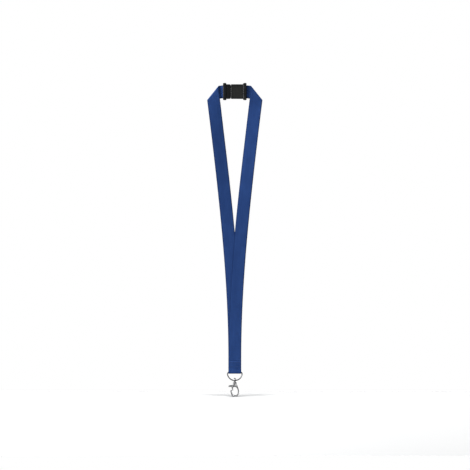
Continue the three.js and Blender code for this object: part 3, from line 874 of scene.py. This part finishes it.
def rivet():
    """The gate's rivet, with a domed head at each end."""
    rim = 0.05 * MM
    dome_angles = (0.35, 0.7, 1.05, 1.4)
    low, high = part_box("gate_pin")
    radius = (high.x - low.x) / 2
    reach = high.y
    front = [(radius * math.sin(a), -reach - rivet_dome * math.cos(a)) for a in dome_angles]
    back = [(radius * math.sin(a), reach + rivet_dome * math.cos(a)) for a in reversed(dome_angles)]
    shank = [(radius, -reach + rim), (radius, reach - rim)]
    profile = [(0, -reach - rivet_dome)] + front + shank + back + [(0, reach + rivet_dome)]
    return turned(profile, low.lerp(high, 0.5))


# ---------------------------------------------------------------- the lanyard


def make_straps():
    fabric = webbing_material()
    right = webbing("webbing_right", front_strap(), fabric, False)
    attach(right, "straps")
    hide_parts("strap_right")
    front_strap().length

    left = webbing("webbing_left", rear_strap(), fabric, True)
    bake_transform(left)
    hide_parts("strap_left", "strap_left_neck")
    rear_strap().length


def make_seams():
    thread = thread_material()
    half = strap_thickness / 2
    tab_faces = (-layer_pitch - half, layer_pitch + half)
    for node, height in zip(("seam_tab_upper", "seam_tab_lower"), seam_heights):
        places = seam_places(Vector((0, 0, height)), Vector((1, 0, 0)))
        piece = stitches(node.replace("seam", "stitches"), places, Vector((1, 0, 0)), *tab_faces, thread)
        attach(piece, "straps")
        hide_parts(node)
    neck_faces = (segment_depth - half, segment_depth + layer_pitch + half)
    middle = neck_seam_low.lerp(neck_seam_high, 0.5)
    for node, side, body in (("seam_socket_end", 1, "straps"), ("seam_plug_end", -1, "plug_end")):
        places = seam_places(Vector((side * middle.x, 0, middle.z)), Vector((0, 0, 1)))
        piece = stitches(node.replace("seam", "stitches"), places, Vector((0, 0, 1)), *neck_faces, thread)
        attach(piece, body)
        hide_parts(node)


def make_buckle():
    panel_across = (-4.9 * MM, 10.7 * MM)
    panel_upright = (2.1 * MM, 20.4 * MM)
    panel_depth = socket_low.y + 1.5 * MM
    panel = (panel_across, panel_upright, panel_depth)
    socket_plastic = plastic_material("socket_plastic", plastic_scuffed, 0.22, panel)
    plug_plastic = plastic_material("plug_plastic", plug_lit, 0.2)
    mouldings = (("buckle_socket", "straps", socket_plastic), ("buckle_plug", "plug_end", plug_plastic))
    for node, body, plastic in mouldings:
        piece = moulded(node.replace("buckle_", "moulded_"), node)
        piece.data.materials.append(plastic)
        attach(piece, body)
        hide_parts(node)


def make_hardware():
    plated = plated_material("nickel_plate", nickel, nickel_shadow, gloss=0.15, ripple=0.009 * MM)
    # Painted shade: the wire's plate is a darker copy of the nickel, for the dark reflections on the thin
    # ring.
    wire = plated_material("shaded_nickel_wire", shaded_wire_nickel, wire_shadow, gloss=0.13, ripple=0.005 * MM)
    spring_steel = plated_material("spring_wire", spring_grey, nickel_shadow, gloss=0.28, ripple=0.004 * MM)
    ring = finished("wire_ring", tube(ring_path(), wire_radius, 28))
    eye = cast("cast_eye", "swivel_eye", 0.09 * MM, 6)
    hook = cast("cast_hook", "hook_body", 0.11 * MM, 24)
    gate = cast("pressed_gate", "gate_lever", 0.09 * MM, 14)
    pin = finished("rivet", rivet())
    spring = finished("coil_spring", tube(spring_path(), spring_wire_radius, 12))
    pieces = (
        (ring, "d_ring", "ring", wire, "plated_steel"),
        (eye, "swivel_eye", "eye", plated, "plated_steel"),
        (hook, "hook_body", "hook", plated, "plated_steel"),
        (gate, "gate_lever", "gate", plated, "plated_steel"),
        (pin, "gate_pin", "hook", wire, "plated_steel"),
        (spring, "gate_spring", "hook", spring_steel, "spring_steel"),
    )
    for piece, node, body, material, slot in pieces:
        piece.data.materials.clear()
        piece.data.materials.append(material)
        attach(piece, body)
        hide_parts(node)
    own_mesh(spring)


# ---------------------------------------------------------------- studio


def make_floor():
    """The pale floor just under the hook's foot. It reaches further forward than back."""
    half_width = 450 * MM
    forward = 350 * MM
    under_foot = 0.1 * MM
    bm = bmesh.new()
    bmesh.ops.create_grid(bm, x_segments=8, y_segments=8, size=half_width)
    bmesh.ops.translate(bm, verts=bm.verts, vec=(0, -forward, hook_low.z - under_foot))
    floor = finished("studio_floor", bm)
    s = Shader("pale_floor", Roughness=0.9)
    floor.data.materials.append(s.finish(s.mix(s.noise(scale=3, detail=3), floor_grey, floor_light)))


def area_light(name, place, aim, side, power):
    """A square light that looks at a point."""
    light = bpy.data.lights.new(name, "AREA")
    light.shape = "RECTANGLE"
    light.size = light.size_y = side
    light.energy = power
    lamp = bpy.data.objects.new(name, light)
    bpy.context.scene.collection.objects.link(lamp)
    lamp.location = place
    lamp.rotation_euler = (Vector(aim) - Vector(place)).to_track_quat("-Z", "Y").to_euler()


def make_air(front, back, above, left):
    """White where the camera looks past the lanyard; for the metal, an uneven room with a dark side."""
    full_at = 0.8
    world = bpy.data.worlds.new("studio_air")
    bpy.context.scene.world = world
    world.use_nodes = True
    tree = world.node_tree
    room = tree.nodes["Background"]
    white = tree.nodes.new("ShaderNodeBackground")
    white.inputs["Color"].default_value = (1, 1, 1, 1)
    place = tree.nodes.new("ShaderNodeTexCoord")
    axes = tree.nodes.new("ShaderNodeSeparateXYZ")
    tree.links.new(place.outputs["Object"], axes.inputs[0])
    parts = []
    for axis, low, high in ((1, front, back), (2, 0.0, above), (0, left, 0.0)):
        share = tree.nodes.new("ShaderNodeMapRange")
        share.interpolation_type = "SMOOTHSTEP"
        for socket, number in zip((1, 2, 3, 4), (-full_at, full_at, low, high)):
            share.inputs[socket].default_value = number
        tree.links.new(axes.outputs[axis], share.inputs[0])
        parts.append(share.outputs[0])
    total = parts[0]
    for part in parts[1:]:
        add = tree.nodes.new("ShaderNodeMath")
        tree.links.new(total, add.inputs[0])
        tree.links.new(part, add.inputs[1])
        total = add.outputs[0]
    tree.links.new(total, room.inputs["Strength"])
    room.inputs["Color"].default_value = (0.96, 0.98, 1, 1)
    sight = tree.nodes.new("ShaderNodeLightPath")
    choice = tree.nodes.new("ShaderNodeMixShader")
    tree.links.new(sight.outputs["Is Camera Ray"], choice.inputs[0])
    tree.links.new(room.outputs[0], choice.inputs[1])
    tree.links.new(white.outputs[0], choice.inputs[2])
    tree.links.new(choice.outputs[0], tree.nodes["World Output"].inputs[0])


def make_camera(middle, field, distance, sensor=36):
    """A long lens that looks level at the lanyard and sees a square of the given field."""
    camera_data = bpy.data.cameras.new("camera")
    camera_data.sensor_width = sensor
    camera_data.lens = sensor * distance / field
    camera_data.clip_end = 50
    camera = bpy.data.objects.new("camera", camera_data)
    bpy.context.scene.collection.objects.link(camera)
    camera.location = (0.3 * MM, -distance, middle.z)
    camera.rotation_euler = (math.pi / 2, 0, 0)
    bpy.context.scene.camera = camera


def make_studio():
    middle = Vector((0, 0, -0.211))
    bpy.context.scene.view_settings.view_transform = "Standard"
    make_air(front=0.07, back=0.1, above=0.15, left=0.4)
    area_light("key", (-1.55, -0.8, 0.35), aim=middle, side=1.4, power=61)
    area_light("top", (0.0, -0.15, 1.6), aim=(0, 0, hook_low.z), side=0.12, power=40)
    area_light("rear", (1.3, 1.5, 0.1), aim=middle, side=1.2, power=30)
    make_camera(middle, field=0.7285, distance=3.0)


make_studio()
make_straps()
make_seams()
make_buckle()
make_hardware()
make_floor()
